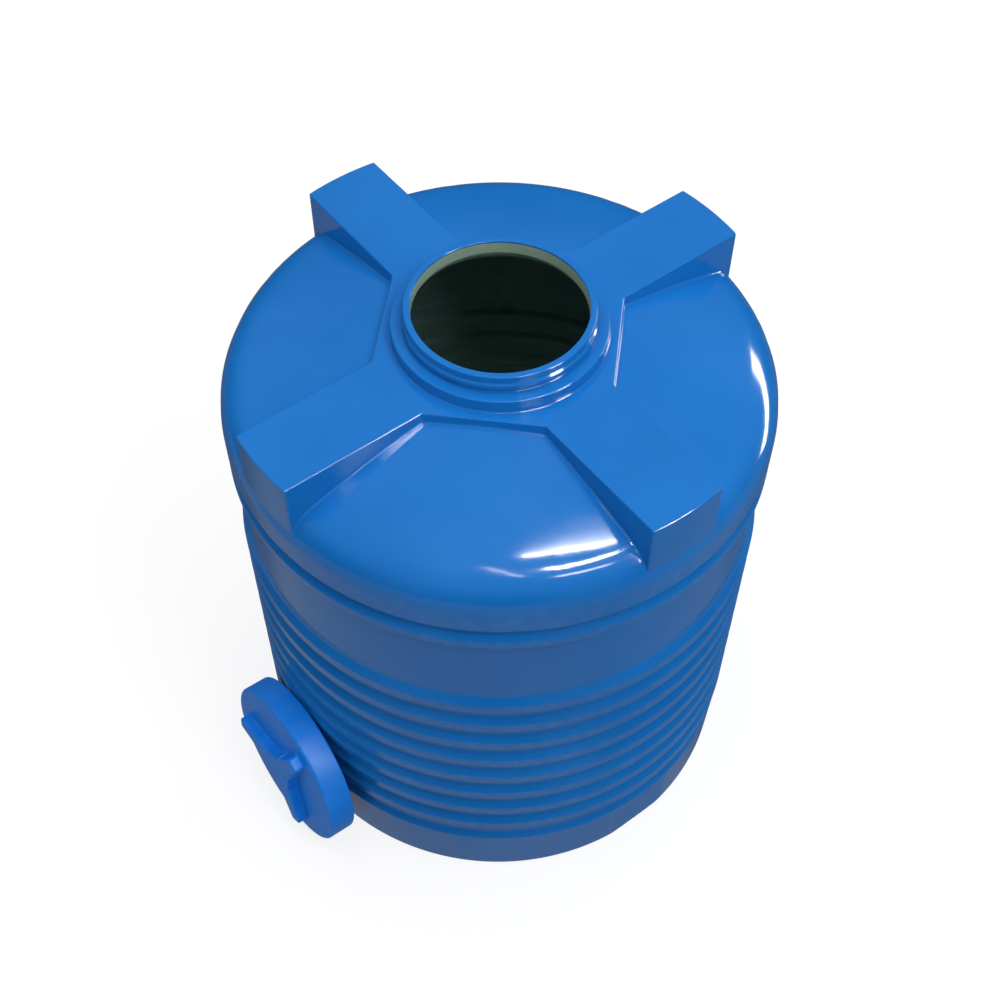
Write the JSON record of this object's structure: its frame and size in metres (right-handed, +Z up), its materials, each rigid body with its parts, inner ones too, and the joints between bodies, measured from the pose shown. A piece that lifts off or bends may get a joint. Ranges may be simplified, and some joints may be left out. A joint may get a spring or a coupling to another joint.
{
  "type": "vertical water storage tank",
  "caption": "Upright round plastic water tank with a ribbed wall, four raised arms on its dome, a threaded manhole neck and a screw lid that leans against the wall.",
  "frame": {"origin": "centre of the tank's base, on the ground", "axes": "+Z up along the tank's axis, -Y towards the front; the lid leans on the side at about 219 degrees anticlockwise from +X"},
  "size_m": [1.1328, 1.08, 1.278],
  "materials": {
    "tank_plastic": "glossy blue moulded polyethylene with a faint mould grain",
    "liner_plastic": "waxy grey-green inner layer",
    "lid_plastic": "satin blue moulded polyethylene",
    "seal_rubber": "matte black rubber sheet"
  },
  "bodies": {
    "tank": {"tank_shell": "tank_plastic", "tank_liner": "liner_plastic"},
    "seal": {"lid_seal": "seal_rubber"},
    "lid": {"lid_shell": "lid_plastic"}
  },
  "joints": [
    {"name": "lid_lift", "type": "slide", "parent": "tank", "child": "seal", "axis": [0, 0, 1], "range_m": [0, 1.086]},
    {"name": "lid_turn", "type": "hinge", "parent": "seal", "child": "lid", "pos_m": [-0.42993, -0.34939, 0.19208], "axis": [-0.7927, -0.606, 0.0663], "continuous": true}
  ]
}
